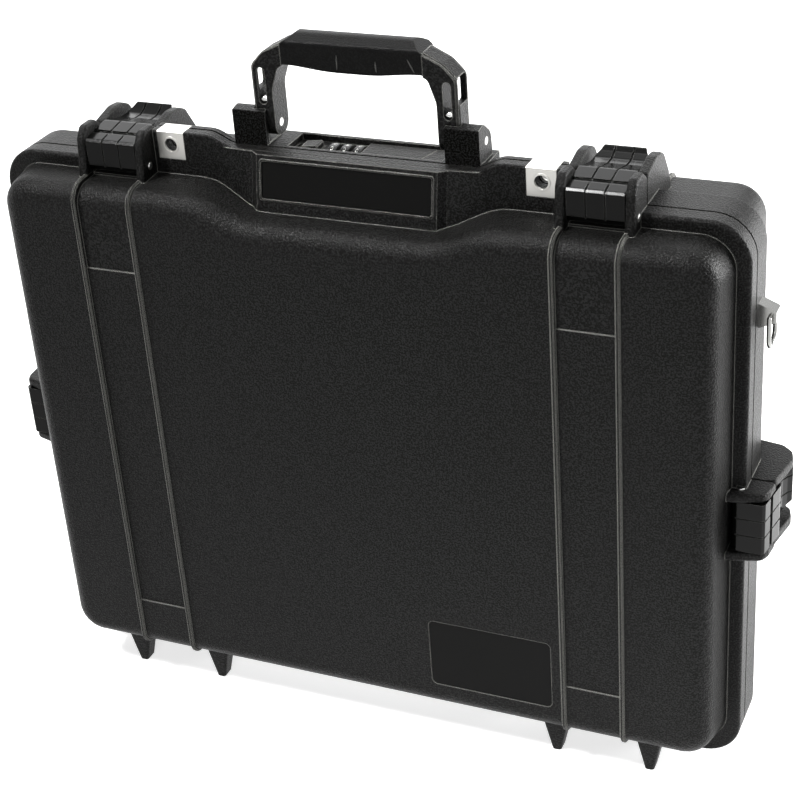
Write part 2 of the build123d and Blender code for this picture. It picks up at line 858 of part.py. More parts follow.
# -------------------------------------------------------------------------- base
with BuildPart() as base_blank:
    band_back = seam_y + base_band
    add(rim_slab(seam_y, band_back))
    add(raised_slab(seam_y, seam_y + padlock_wall))
    # console between the handle's posts
    with Locations((0, seam_y + (console_depth + 1) / 2, (saddle_top + rim_top) / 2 - 5)):
        Box(2 * console_half_width, console_depth - 1, saddle_top - rim_top + 10)
    add(dome(back_y, seam_y + 1, False, 0.0, base_side_draft))
    add(ledge_skins(back_y, seam_y + 1, False, base_side_draft), mode=Mode.SUBTRACT)
    add(ribs(back_y, seam_y + 1, False, base_side_draft))
    for x in (-1, 1):
        for side in (-1, 1):
            add(foot(x * (hinge_centre + side * foot_spacing / 2), base_foot_behind))
            centre = x * hinge_centre + side * (lid_knuckle_length / 2 + knuckle_gap + base_knuckle_length / 2)
            add(knuckle(centre, base_knuckle_length, seam_y + lid_band - 2))
        # handle post, rounded at its back
        with BuildSketch(side_plane(min(x * post_inner, x * post_outer))):
            add(
                rounded_outline(
                    [
                        (behind(post_front), saddle_top - 6),
                        (behind(post_front), post_top - 1.5),
                        (behind(post_front + 9), post_top),
                        (behind(post_front + 20.5), post_top - 9),
                        (behind(post_front + 22.5), saddle_top - 6),
                    ],
                    {1: 1.0, 2: 6.0, 3: 9.0},
                )
            )
        extrude(amount=post_outer - post_inner)
    for site in latch_sites.values():
        add(catch(site))
        for w in (-ear_offset, ear_offset):
            add(ear(site, "base_ear", w))
    # seat of the purge valve
    with Locations((valve_x, behind(valve_behind), cavity_top + valve_seat / 2)):
        Cylinder(valve_radius + 2, valve_seat)

with BuildPart() as base_shell:
    add(base_blank.part)
    add(cavity(seam_y, back_y - wall), mode=Mode.SUBTRACT)
    with BuildSketch(facing_front(seam_y + 1)):
        add(ring_outline(seal_groove_offset, tongue_width))
    extrude(amount=tongue_height + 1)
    # pockets of the handle's legs, open behind and on the inner side
    for x in (-1, 1):
        inner, outer = post_inner - 1, leg_outer + leg_gap
        with Locations((x * (inner + outer) / 2, behind(post_front + post_wall + 20), post_top)):
            Box(outer - inner, 40, 2 * (post_top - leg_floor), mode=Mode.SUBTRACT)
        with Locations((x * (leg_inner + post_outer) / 2, behind(handle_pin_behind), handle_pin_height)):
            Cylinder(handle_pin_radius, post_outer - leg_inner + 6, rotation=(0, 90, 0), mode=Mode.SUBTRACT)
    with Locations(((lock_left + lock_right) / 2, behind((lock_front + lock_back) / 2), (saddle_top + 2 + lock_floor) / 2)):
        Box(lock_right - lock_left, lock_back - lock_front, saddle_top + 2 - lock_floor, mode=Mode.SUBTRACT)
    # slot where the hasp comes in
    with Locations((hasp_x, seam_y + lock_setback / 2, hasp_z)):
        Box(hasp_thickness + 1.2, lock_setback + 2, hasp_height + 1.6, mode=Mode.SUBTRACT)
    with Locations((-padlock_x, seam_y, padlock_height), (padlock_x, seam_y, padlock_height)):
        Cylinder(padlock_radius, 40, rotation=(90, 0, 0), mode=Mode.SUBTRACT)
    wall_back = seam_y + padlock_wall
    add(padlock_cut(wall_back - 1.1, wall_back + 2, raised_top + 0.1 - plate_height), mode=Mode.SUBTRACT)
    add(padlock_cut(seam_y - 1, wall_back + 2, raised_top - 1.1), mode=Mode.SUBTRACT)
    with Locations((-hinge_centre, hinge_y, hinge_height), (hinge_centre, hinge_y, hinge_height)):
        Cylinder(hinge_pin_radius, hinge_pin_length + 6, rotation=(0, 90, 0), mode=Mode.SUBTRACT)
    with Locations((valve_x, behind(valve_behind), cavity_top)):
        Cylinder(valve_stem, 80, mode=Mode.SUBTRACT)
    # seats of the strap rings' brackets
    for x in (-1, 1):
        with Locations((x * rim_half_width, behind(ring_behind), ring_height)):
            Box(2 * bracket_sink, bracket_length, bracket_height, mode=Mode.SUBTRACT)
save(base_shell.part, "base_shell")

# -------------------------------------------------------------- hinge pins and seal
for side, x in (("left", -hinge_centre), ("right", hinge_centre)):
    with BuildPart() as hinge_pin:
        with Locations((x, hinge_y, hinge_height)):
            Cylinder(hinge_pin_radius, hinge_pin_length, rotation=(0, 90, 0))
        chamfer(hinge_pin.edges(), 0.4)
    save(hinge_pin.part, f"hinge_pin_{side}")

with BuildPart() as lid_seal:
    with BuildSketch(facing_front(seam_y - tongue_height - 0.05)):
        add(ring_outline(seal_groove_offset, seal_groove_width - 2 * seal_clearance))
    extrude(amount=seal_groove_depth - tongue_height - 0.05)
save(lid_seal.part, "lid_seal")

# ------------------------------------------------------------------------ latches
for name, site in latch_sites.items():
    save(latch_lever(site), f"lever_{name}")
    save(latch_claw(site), f"claw_{name}")
    with BuildPart() as latch_pin:
        add(rod(site, 0, 0, latch_pin_radius, latch_gap + 2 * ear_thickness))
    save(latch_pin.part, f"latch_pin_{name}")
    with BuildPart() as claw_pin:
        add(rod(site, claw_pin_reach, claw_pin_rise, claw_pin_radius, thumb_width - 0.4))
    save(claw_pin.part, f"claw_pin_{name}")

# ----------------------------------------------------------------- padlock plates
for side, x in (("left", -padlock_x), ("right", padlock_x)):
    save(padlock_plate(x, wall_front, seam_y, 1), f"padlock_plate_lid_{side}")
    save(padlock_plate(x, seam_y + padlock_wall, seam_y + 0.1, -1), f"padlock_plate_base_{side}")

# -------------------------------------------------------------- name plate and label
with BuildPart() as name_plate:
    with BuildSketch(name_plane.offset(-name_depth)):
        RectangleRounded(name_width - 2 * plate_gap, name_height - 2 * plate_gap, 1.2)
    extrude(amount=name_depth - 0.5)
save(name_plate.part, "name_plate")

with BuildPart() as label_plate:
    with BuildSketch(facing_front(front_y + label_depth)):
        with Locations(label_centre):
            RectangleRounded(label_size[0] - 2 * plate_gap, label_size[1] - 2 * plate_gap, label_corner - plate_gap)
    extrude(amount=label_depth - 0.35)
save(label_plate.part, "label_plate")

# ------------------------------------------------------------------------- handle
def mirrored(right_half):
    """Points of one side and their mirror images, in order round the outline."""
    return right_half + [(-x, z) for x, z in reversed(right_half)]


def handle_outline(shrink=0.0):
    """Front outline of the handle's frame: an arch with two straight legs."""
    outer = [
        (leg_outer - shrink, handle_pin_height - leg_foot - 2),
        (leg_outer - shrink, grip_top - 17.5),
        (leg_outer - 8.5 - shrink * 0.6, grip_top - 8.8),
        (leg_outer - 25.5, grip_top - shrink),
    ]
    inner = [
        (-leg_inner, handle_pin_height - leg_foot - 2),
        (-leg_inner, grip_bottom - 13.0),
        (-leg_inner + 5.5, grip_bottom + 3.2),
        (-leg_inner + 16.0, grip_bottom + 3.2),
    ]
    points = mirrored(outer) + inner + [(-x, z) for x, z in reversed(inner)]
    rounds = {1: 6.0, 2: 14.0, 3: 16.0, 4: 16.0, 5: 14.0, 6: 6.0}
    rounds |= {9: 14.0, 10: 6.0, 13: 6.0, 14: 14.0}
    return rounded_outline(points, rounds)


with BuildPart() as handle_frame:
    # three layers give the arch stepped, softened front and back edges
    for inset, shrink in ((0.0, 1.6), (0.9, 0.5), (2.6, 0.0)):
        with BuildSketch(facing_front(behind(leg_front + leg_depth - inset))):
            add(handle_outline(shrink))
        extrude(amount=leg_depth - 2 * inset)
    # round the foot of each leg about its pin
    foot_round = leg_foot
    with BuildSketch(side_plane(-leg_outer - 10)):
        add(
            rounded_outline(
                [
                    (behind(leg_front), handle_pin_height - leg_foot),
                    (behind(leg_front), grip_top + 5),
                    (behind(leg_front + leg_depth), grip_top + 5),
                    (behind(leg_front + leg_depth), handle_pin_height - leg_foot),
                ],
                {0: foot_round, 3: foot_round},
            )
        )
    extrude(amount=2 * leg_outer + 20, mode=Mode.INTERSECT)
    # slots that lighten the legs, open to the front, the back and the outer side
    for x in (-1, 1):
        with BuildSketch(facing_front(behind(leg_front + leg_depth + 1))):
            with Locations((x * (leg_inner + leg_outer) / 2, grip_bottom - 11)):
                SlotOverall(24, leg_slot, rotation=90)
        extrude(amount=leg_depth + 2, mode=Mode.SUBTRACT)
        with BuildSketch(side_plane(min(x * (leg_outer + 3), x * (leg_inner + leg_width / 2)))):
            with Locations((behind(leg_front + leg_depth / 2 - 0.3), grip_bottom - 5.5)):
                RectangleRounded(leg_depth - 5.0, 17.0, 2.0)
        extrude(amount=leg_width / 2 + 3, mode=Mode.SUBTRACT)
    with Locations(
        *[(x * (leg_inner + leg_outer) / 2, behind(handle_pin_behind), handle_pin_height) for x in (-1, 1)]
    ):
        Cylinder(handle_pin_radius + running_clearance, 30, rotation=(0, 90, 0), mode=Mode.SUBTRACT)
    # the bar is thinned to the core that the grip is moulded on
    with BuildPart(mode=Mode.PRIVATE) as sleeve:
        with Locations((0, behind(leg_front + leg_depth / 2), (grip_top + grip_bottom) / 2)):
            Box(2 * grip_half_width, leg_depth + 2, grip_top - grip_bottom + 14)
        with Locations((0, behind(leg_front + leg_depth / 2), core_middle)):
            Box(2 * grip_half_width, leg_depth - 6, core_height, mode=Mode.SUBTRACT)
    add(sleeve.part, mode=Mode.SUBTRACT)
save(handle_frame.part, "handle_frame")

with BuildPart() as handle_grip:
    # outline of the grip across its length, then its bowed underside
    with BuildSketch(side_plane(-grip_half_width)):
        add(
            rounded_outline(
                [
                    (behind(leg_front), grip_bottom),
                    (behind(leg_front), grip_top - 0.6),
                    (behind(leg_front + 13), grip_top + 5.0),
                    (behind(leg_front + grip_depth), grip_top - 2.5),
                    (behind(leg_front + grip_depth), grip_bottom + 1),
                ],
                {0: 4.0, 1: 3.0, 2: 12.0, 3: 7.0, 4: 6.0},
            )
        )
    extrude(amount=2 * grip_half_width)
    # its top falls in a soft shoulder to the frame at both ends
    with BuildSketch(facing_front(behind(leg_front + grip_depth + 5))):
        add(
            rounded_outline(
                mirrored(
                    [
                        (grip_half_width + 2, grip_bottom - 10),
                        (grip_half_width + 2, grip_top - 3.4),
                        (grip_half_width - 12, grip_top + 5.6),
                    ]
                ),
                {2: 12.0, 3: 12.0},
            )
        )
    extrude(amount=grip_depth + 12, mode=Mode.INTERSECT)
    bow = [(-1.05, 4.0), (-0.78, 3.8), (-0.42, 1.6), (0.0, 0.2), (0.42, 1.6), (0.78, 3.8), (1.05, 4.0)]
    with BuildSketch(facing_front(behind(leg_front + grip_depth + 5))):
        with BuildLine():
            Spline(*[(share * grip_half_width, grip_bottom + rise) for share, rise in bow])
            Polyline(
                (bow[-1][0] * grip_half_width, grip_bottom + bow[-1][1]),
                (bow[-1][0] * grip_half_width, grip_bottom - 5),
                (bow[0][0] * grip_half_width, grip_bottom - 5),
                (bow[0][0] * grip_half_width, grip_bottom + bow[0][1]),
            )
        make_face()
    extrude(amount=grip_depth + 12, mode=Mode.SUBTRACT)
    # the grip's back tapers towards both ends
    for x in (-1, 1):
        with BuildSketch(Plane.XY.offset(grip_bottom - 10)):
            add(
                rounded_outline(
                    [
                        (x * (grip_half_width + 1), behind(leg_front + leg_depth + 0.4)),
                        (x * (grip_half_width + 1), behind(leg_front + grip_depth + 3)),
                        (x * (grip_half_width - 12), behind(leg_front + grip_depth + 3)),
                        (x * (grip_half_width - 12), behind(leg_front + grip_depth)),
                    ],
                    {},
                )
            )
        extrude(amount=50, mode=Mode.SUBTRACT)
    with Locations((0, behind(leg_front + leg_depth / 2), core_middle)):
        Box(2 * grip_half_width + 4, leg_depth - 6, core_height, mode=Mode.SUBTRACT)
save(handle_grip.part, "handle_grip")

for side, x in (("left", -1), ("right", 1)):
    with BuildPart() as handle_pin:
        with Locations((x * (leg_inner + post_outer) / 2, behind(handle_pin_behind), handle_pin_height)):
            Cylinder(handle_pin_radius, post_outer - leg_inner, rotation=(0, 90, 0))
    save(handle_pin.part, f"handle_pin_{side}")

# --------------------------------------------------------------------------- lock
lock_middle_x = (lock_left + lock_right) / 2
lock_middle_y = behind((lock_front + lock_back) / 2)
dial_places = [dial_first + number * dial_pitch for number in range(3)]
slider_middle = (slider_left + slider_right) / 2
with BuildPart() as lock_body:
    with Locations((lock_middle_x, lock_middle_y, (lock_floor + lock_face) / 2)):
        Box(lock_right - lock_left - 0.4, lock_back - lock_front - 0.4, lock_face - lock_floor)
    # raised flat panel beside the dials
    with Locations(((panel_left + lock_right - 0.2) / 2, lock_middle_y - 1.2, (lock_face + panel_top) / 2)):
        Box(lock_right - 0.2 - panel_left, lock_back - lock_front - 2.8, panel_top - lock_face)
    # slanted joint near the panel's end
    with BuildSketch(Plane.XY.offset(panel_top - 0.6)):
        add(
            rounded_outline(
                [
                    (panel_joint - 4.2, behind(lock_front) - 1),
                    (panel_joint - 3.4, behind(lock_front) - 1),
                    (panel_joint + 3.4, behind(lock_back) + 1),
                    (panel_joint + 2.6, behind(lock_back) + 1),
                ],
                {},
            )
        )
    extrude(amount=3, mode=Mode.SUBTRACT)
    with Locations(*[(x, behind(dial_behind), dial_height) for x in dial_places]):
        Cylinder(dial_radius + 0.5, dial_width + 0.6, rotation=(0, 90, 0), mode=Mode.SUBTRACT)
    with Locations(*[(x, behind(dial_behind), dial_height + 8) for x in dial_places]):
        Box(dial_width + 0.6, 2 * dial_radius + 1, 16, mode=Mode.SUBTRACT)
    with Locations((dial_places[1], behind(dial_behind), dial_height)):
        Cylinder(dial_shaft_radius, dial_shaft_length, rotation=(0, 90, 0), mode=Mode.SUBTRACT)
    # slider's pocket, the bolt's bore and the hasp's way in
    with Locations((slider_middle - slider_travel / 2, behind(slider_behind), lock_face)):
        Box(slider_length + slider_travel + 0.4, slider_depth + 0.4, 2 * slider_pocket, mode=Mode.SUBTRACT)
    with Locations((slider_right, behind(slider_behind), bolt_height)):
        Cylinder(bolt_radius + 0.15, 2 * (hasp_gap + hasp_thickness + 0.4), rotation=(0, 90, 0), mode=Mode.SUBTRACT)
    with Locations((hasp_x, seam_y + (hasp_reach + 0.6) / 2, hasp_z)):
        Box(hasp_thickness + 1.2, hasp_reach + 0.6, hasp_height + 1.6, mode=Mode.SUBTRACT)
save(lock_body.part, "lock_body")

with BuildPart() as lock_slider:
    with Locations((slider_middle, behind(slider_behind), lock_face - slider_pocket / 2 + 0.1)):
        Box(slider_length, slider_depth, slider_pocket - 0.2)
    with BuildSketch(Plane(origin=(0, behind(slider_behind) + slider_depth / 2 - 1.0, 0), x_dir=(1, 0, 0), z_dir=(0, -1, 0))):
        with BuildLine():
            Polyline(
                (slider_left + 0.8, lock_face - 1),
                (slider_left + 0.8, lock_face + 2.8),
                (slider_left + slider_length - 2.2, lock_face + 4.0),
                (slider_left + slider_length - 0.8, lock_face + 3.4),
                (slider_left + slider_length - 0.8, lock_face - 1),
                close=True,
            )
        make_face()
    extrude(amount=slider_depth - 2.0)
save(lock_slider.part, "lock_slider")

with BuildPart() as lock_bolt:
    with Locations((slider_right + bolt_length / 2, behind(slider_behind), bolt_height)):
        Cylinder(bolt_radius, bolt_length, rotation=(0, 90, 0))
save(lock_bolt.part, "lock_bolt")

for number, x in enumerate(dial_places, start=1):
    with BuildPart() as dial:
        with Locations((x, behind(dial_behind), dial_height)):
            Cylinder(dial_radius, dial_width, rotation=(0, 90, 0))
        chamfer(dial.edges(), 0.5)
        with BuildPart(mode=Mode.PRIVATE) as flutes:
            for turn in range(10):
                angle = math.radians(36 * turn + 18)
                with Locations(
                    (
                        x,
                        behind(dial_behind) + (dial_radius + 0.3) * math.cos(angle),
                        dial_height + (dial_radius + 0.3) * math.sin(angle),
                    )
                ):
                    Cylinder(0.9, dial_width + 1, rotation=(0, 90, 0))
        add(flutes.part, mode=Mode.SUBTRACT)
        with Locations((x, behind(dial_behind), dial_height)):
            Cylinder(dial_shaft_radius + running_clearance, dial_width + 1, rotation=(0, 90, 0), mode=Mode.SUBTRACT)
    save(dial.part, f"lock_dial_{number}")

with BuildPart() as dial_shaft:
    with Locations((dial_places[1], behind(dial_behind), dial_height)):
        Cylinder(dial_shaft_radius, dial_shaft_length, rotation=(0, 90, 0))
save(dial_shaft.part, "dial_shaft")

with BuildPart() as lock_hasp:
    with Locations((hasp_x, seam_y - hasp_thickness / 2, hasp_z)):
        Box(hasp_foot, hasp_thickness, hasp_foot_height)
    with Locations((hasp_x, seam_y + hasp_reach / 2, hasp_z)):
        Box(hasp_thickness, hasp_reach, hasp_height)
    with Locations((hasp_x, behind(slider_behind), bolt_height)):
        Cylinder(bolt_radius + 0.5, 10, rotation=(0, 90, 0), mode=Mode.SUBTRACT)
save(lock_hasp.part, "lock_hasp")

# -------------------------------------------------------------------- strap rings
ring_pin_x = rim_half_width + ring_stand
for side, x in (("left", -1), ("right", 1)):
    with BuildPart() as bracket:
        with BuildSketch(facing_front(behind(ring_behind + bracket_length / 2))):
            with BuildLine():
                Polyline(
                    (x * (rim_half_width - bracket_sink), ring_height - bracket_height / 2),
                    (x * (rim_half_width - bracket_sink), ring_height + bracket_height / 2),
                    (x * rim_half_width, ring_height + bracket_height / 2),
                    (x * (ring_pin_x + 3.5), ring_height + 3.5),
                    (x * (ring_pin_x + 3.5), ring_height - 3.5),
                    (x * rim_half_width, ring_height - bracket_height / 2),
                    close=True,
                )
            make_face()
        extrude(amount=bracket_length)
        with Locations((x * ring_pin_x, behind(ring_behind), ring_height)):
            Cylinder(ring_wire + running_clearance, 40, rotation=(90, 0, 0), mode=Mode.SUBTRACT)
    save(bracket.part, f"ring_bracket_{side}")
    with BuildPart() as strap_ring:
        half = bracket_length / 2 + 1.2 + ring_wire
        ring_x, ring_y = x * ring_pin_x, behind(ring_behind)
        with Locations((ring_x, ring_y, ring_height)):
            Cylinder(ring_wire, 2 * half, rotation=(90, 0, 0))
        with Locations((ring_x, ring_y - half, ring_height), (ring_x, ring_y + half, ring_height)):
            Sphere(ring_wire)
        with Locations(
            (ring_x, ring_y - half, ring_height - ring_drop / 2), (ring_x, ring_y + half, ring_height - ring_drop / 2)
        ):
            Cylinder(ring_wire, ring_drop)
        with BuildSketch(Plane(origin=(ring_x, ring_y, ring_height - ring_drop), x_dir=(1, 0, 0), z_dir=(0, 0, 1))):
            with Locations((0, half)):
                Circle(ring_wire)
        revolve(axis=Axis((ring_x, ring_y, ring_height - ring_drop), (-1, 0, 0)), revolution_arc=180)
    save(strap_ring.part, f"strap_ring_{side}")

# -------------------------------------------------------------------- purge valve
seat_z = cavity_top + valve_seat
with BuildPart() as valve_body:
    with Locations((valve_x, behind(valve_behind), seat_z + 1.0 + 2.0)):
        Cylinder(valve_radius, 4.0)
    chamfer(valve_body.edges().group_by(Axis.Z)[-1], 1.0)
    with Locations((valve_x, behind(valve_behind), (seat_z + 1.0 + cavity_top - 9) / 2)):
        Cylinder(valve_stem, seat_z + 1.0 - (cavity_top - 9))
    with Locations(*[(valve_x + dx, behind(valve_behind), seat_z + 5) for dx in (-5, 0, 5)]):
        Box(2, 12, 1.6, mode=Mode.SUBTRACT)
save(valve_body.part, "valve_body")
with BuildPart() as valve_seal:
    with Locations((valve_x, behind(valve_behind), seat_z + 0.5)):
        Cylinder(valve_radius - 1.5, 1.0)
        Cylinder(valve_stem, 3.0, mode=Mode.SUBTRACT)
save(valve_seal.part, "valve_seal")
with BuildPart() as valve_nut:
    with BuildSketch(Plane.XY.offset(cavity_top - 5)):
        with Locations((valve_x, behind(valve_behind))):
            RegularPolygon(9, 6)
            Circle(valve_stem, mode=Mode.SUBTRACT)
    extrude(amount=5)
save(valve_nut.part, "valve_nut")

# --------------------------------------------------------------------------- foam
def foam_slab(y_low, y_high):
    """Foam that fills the cavity between two planes."""
    with BuildPart() as slab:
        with BuildSketch(facing_front(y_high)):
            with Locations((0, (cavity_top + cavity_bottom) / 2)):
                RectangleRounded(
                    2 * (cavity_half_width - foam_gap),
                    cavity_top - cavity_bottom - 2 * foam_gap,
                    cavity_corner - foam_gap,
                )
        extrude(amount=y_high - y_low)
    return slab.part


with BuildPart() as base_foam:
    foam_back = back_y - wall - 0.3
    add(foam_slab(seam_y + 1.5, foam_back))
    fillet(base_foam.faces().sort_by(Axis.Y)[-1].edges(), cavity_round)
    with BuildSketch(facing_front(seam_y + 1.5 + pocket_depth)):
        with Locations((0, (cavity_top + cavity_bottom) / 2)):
            RectangleRounded(*pocket_size, pocket_corner)
    extrude(amount=pocket_depth + 1, mode=Mode.SUBTRACT)
    # finger notches, and room for the purge valve's nut
    for x in (-1, 1):
        with BuildSketch(facing_front(seam_y + 1.5 + pocket_depth)):
            with Locations((x * pocket_size[0] / 2, (cavity_top + cavity_bottom) / 2)):
                SlotOverall(60, 30, rotation=90)
        extrude(amount=pocket_depth + 1, mode=Mode.SUBTRACT)
    with Locations((valve_x, behind(valve_behind), cavity_top)):
        Box(26, 26, 26, mode=Mode.SUBTRACT)
save(base_foam.part, "base_foam")

with BuildPart() as lid_foam:
    lid_floor = behind(wall) + 0.3
    add(foam_slab(lid_floor, seam_y - 1.5))
    fillet(lid_foam.faces().sort_by(Axis.Y)[0].edges(), cavity_round)
save(lid_foam.part, "lid_foam")
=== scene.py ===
"""Looks of the laptop hard case: finishes, small surface pieces, floor, lights and camera."""
import json
import math

import bpy
from mathutils import Matrix, Vector


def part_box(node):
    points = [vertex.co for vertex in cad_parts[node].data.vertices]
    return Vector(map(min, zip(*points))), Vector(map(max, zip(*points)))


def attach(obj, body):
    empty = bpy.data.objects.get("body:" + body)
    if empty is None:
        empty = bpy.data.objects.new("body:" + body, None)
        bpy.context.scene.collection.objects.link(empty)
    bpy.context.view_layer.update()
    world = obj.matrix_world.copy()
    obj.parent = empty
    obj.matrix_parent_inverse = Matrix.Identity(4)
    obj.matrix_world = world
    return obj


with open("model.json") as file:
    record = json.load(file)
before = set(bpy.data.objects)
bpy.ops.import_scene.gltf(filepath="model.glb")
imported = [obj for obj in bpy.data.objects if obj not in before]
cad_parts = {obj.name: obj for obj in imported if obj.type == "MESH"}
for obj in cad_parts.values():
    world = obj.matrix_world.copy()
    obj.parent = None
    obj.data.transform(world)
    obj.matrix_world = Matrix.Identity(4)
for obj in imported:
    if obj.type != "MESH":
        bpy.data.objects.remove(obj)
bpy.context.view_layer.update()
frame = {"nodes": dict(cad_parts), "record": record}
MM = 0.001

# ------------------------------------------------------------------ materials
# colour sockets of a Mix node in colour mode
MIX_A, MIX_B, MIX_RESULT = 6, 7, 2

GRAIN_DETAIL = 2.0
FLECK_AND_GLINT_LEVELS = (0.44, 0.6)  # noise levels between which a grain turns from dark to light; the light grains are partly painted glints
FLECK_AND_GLINT_DARK = 0.3  # share of the colour left between the grains, the darker grains partly painted shade of the grain
WEAR_AND_HIGHLIGHT_LEVELS = (0.78, 0.97)  # likeness of the rounded and the true normal: painted edge highlight and edge wear below, plain above
GROOVE_SHADE_LEVELS = (0.35, 0.75)  # openness of a groove: painted shade with no gloss below, full gloss above
CLOUD_SCALE, CLOUD_DETAIL = 9.0, 5.0
CLOUD_LEVELS = (0.3, 0.7)
SEAM_Y, SEAM_SHADE_HALF = -0.017, 0.0009  # plane between lid and base, and half the width of the painted shade line kept dark along it
BLACK = (0.003, 0.0029, 0.0025)


def material(name, colour, roughness, metallic=0.0, specular=0.5):
    """Plain principled material, with its constants on the shader's own sockets."""
    mat = bpy.data.materials.new(name)
    mat.use_nodes = True
    shader = mat.node_tree.nodes["Principled BSDF"]
    shader.inputs["Base Color"].default_value = (*colour, 1.0)
    shader.inputs["Roughness"].default_value = roughness
    shader.inputs["Metallic"].default_value = metallic
    shader.inputs["Specular IOR Level"].default_value = specular
    return mat


def nodes_of(mat):
    return mat.node_tree.nodes, mat.node_tree.links


def map_range(nodes, to_range, from_range=(0.0, 1.0)):
    """Map Range node from one pair of levels to another."""
    node = nodes.new("ShaderNodeMapRange")
    node.inputs["From Min"].default_value, node.inputs["From Max"].default_value = from_range
    node.inputs["To Min"].default_value, node.inputs["To Max"].default_value = to_range
    return node


def ramp_between(nodes, levels, low_colour, high_colour):
    """Colour ramp that goes from the low colour to the high one between two levels."""
    ramp = nodes.new("ShaderNodeValToRGB")
    low, high = ramp.color_ramp.elements
    low.position, high.position = levels
    low.color, high.color = (*low_colour, 1.0), (*high_colour, 1.0)
    return ramp


def without_seam(nodes, links, shader, place, level):
    """The level of edge wear and painted highlight with the seam between the shells left out; the seam is
    painted shade, kept black and without gloss.
    """
    # mask of the seam line between lid and base, where shade is painted in
    parts = nodes.new("ShaderNodeSeparateXYZ")
    links.new(place.outputs["Object"], parts.inputs["Vector"])
    near = nodes.new("ShaderNodeMath")
    near.operation = "COMPARE"
    near.inputs[1].default_value = SEAM_Y
    near.inputs[2].default_value = SEAM_SHADE_HALF
    links.new(parts.outputs["Y"], near.inputs[0])
    kept = nodes.new("ShaderNodeMath")
    kept.operation = "MAXIMUM"
    links.new(level, kept.inputs[0])
    links.new(near.outputs["Value"], kept.inputs[1])
    # painted shade on the seam: its specular level falls to nothing there
    specular = shader.inputs["Specular IOR Level"]
    gloss = map_range(nodes, (specular.default_value, 0.0))
    links.new(near.outputs["Value"], gloss.inputs["Value"])
    links.new(gloss.outputs["Result"], specular)
    return kept.outputs["Value"]


def add_grain(
    mat, scale, strength, distance, rough=None, edge=0.0, worn=None, speckle=0.0, cavity=0.0, seam=False
):
    """Moulded or rolled grain as a fine bump, with slow changes of gloss.

    scale, strength and distance shape the bump, and rough is the range of the gloss. edge softens
    the sharp edges, and their lighter colour is painted highlight together with edge wear; lighter and
    darker flecks mix the grain's own tone with painted glints and shade; the groove depth paints shade
    by taking the gloss out of grooves that deep; and seam paints shade into the line between the shells,
    dark and without gloss.
    """
    nodes, links = nodes_of(mat)
    shader = nodes["Principled BSDF"]
    base = tuple(shader.inputs["Base Color"].default_value)[:3]
    place = nodes.new("ShaderNodeTexCoord")
    grain = nodes.new("ShaderNodeTexNoise")
    grain.inputs["Scale"].default_value = scale
    grain.inputs["Detail"].default_value = GRAIN_DETAIL
    links.new(place.outputs["Object"], grain.inputs["Vector"])
    bump = nodes.new("ShaderNodeBump")
    bump.inputs["Strength"].default_value = strength
    bump.inputs["Distance"].default_value = distance
    links.new(grain.outputs["Fac"], bump.inputs["Height"])
    links.new(bump.outputs["Normal"], shader.inputs["Normal"])
    if edge:
        bevel = nodes.new("ShaderNodeBevel")
        bevel.samples = 4
        bevel.inputs["Radius"].default_value = edge
        links.new(bevel.outputs["Normal"], bump.inputs["Normal"])
    colours = []
    # grain flecks: the grain's own tone mixed with painted glints and painted shade
    if speckle:
        dark = tuple(FLECK_AND_GLINT_DARK * part for part in base)
        light = tuple(part + speckle for part in base)
        fleck_and_glint_dots = ramp_between(nodes, FLECK_AND_GLINT_LEVELS, dark, light)
        links.new(grain.outputs["Fac"], fleck_and_glint_dots.inputs["Fac"])
        colours.append(fleck_and_glint_dots)
    if worn:
        # the rounded normal turns away from the true one near an edge, where the colour is lightened as
        # painted highlight and edge wear
        flat = nodes.new("ShaderNodeNewGeometry")
        match = nodes.new("ShaderNodeVectorMath")
        match.operation = "DOT_PRODUCT"
        links.new(bevel.outputs["Normal"], match.inputs[0])
        links.new(flat.outputs["True Normal"], match.inputs[1])
        level = match.outputs["Value"]
        edges = ramp_between(nodes, WEAR_AND_HIGHLIGHT_LEVELS, worn, base)
        if seam:
            level = without_seam(nodes, links, shader, place, level)
        links.new(level, edges.inputs["Fac"])
        colours.append(edges)
    if len(colours) == 2:
        both = nodes.new("ShaderNodeMix")
        both.data_type = "RGBA"
        both.blend_type = "LIGHTEN"
        both.inputs[0].default_value = 1.0
        links.new(colours[0].outputs["Color"], both.inputs[MIX_A])
        links.new(colours[1].outputs["Color"], both.inputs[MIX_B])
        links.new(both.outputs[MIX_RESULT], shader.inputs["Base Color"])
    elif colours:
        links.new(colours[0].outputs["Color"], shader.inputs["Base Color"])
    # painted shade in grooves: the specular level falls with the ambient occlusion
    if cavity:
        groove_shade_ao = nodes.new("ShaderNodeAmbientOcclusion")
        groove_shade_ao.samples = 6
        groove_shade_ao.inputs["Distance"].default_value = cavity
        specular = shader.inputs["Specular IOR Level"]
        shine = map_range(nodes, (0.0, specular.default_value), GROOVE_SHADE_LEVELS)
        links.new(groove_shade_ao.outputs["AO"], shine.inputs["Value"])
        links.new(shine.outputs["Result"], specular)
    if rough:
        cloud = nodes.new("ShaderNodeTexNoise")
        cloud.inputs["Scale"].default_value = CLOUD_SCALE
        cloud.inputs["Detail"].default_value = CLOUD_DETAIL
        links.new(place.outputs["Object"], cloud.inputs["Vector"])
        gloss_range = map_range(nodes, rough, CLOUD_LEVELS)
        links.new(cloud.outputs["Fac"], gloss_range.inputs["Value"])
        links.new(gloss_range.outputs["Result"], shader.inputs["Roughness"])
    return mat


def finish(name, colour, roughness, metallic=0.0, specular=0.5, **grain):
    """Grained material: the colour and gloss of material(), and the grain of add_grain()."""
    return add_grain(material(name, colour, roughness, metallic, specular), **grain)


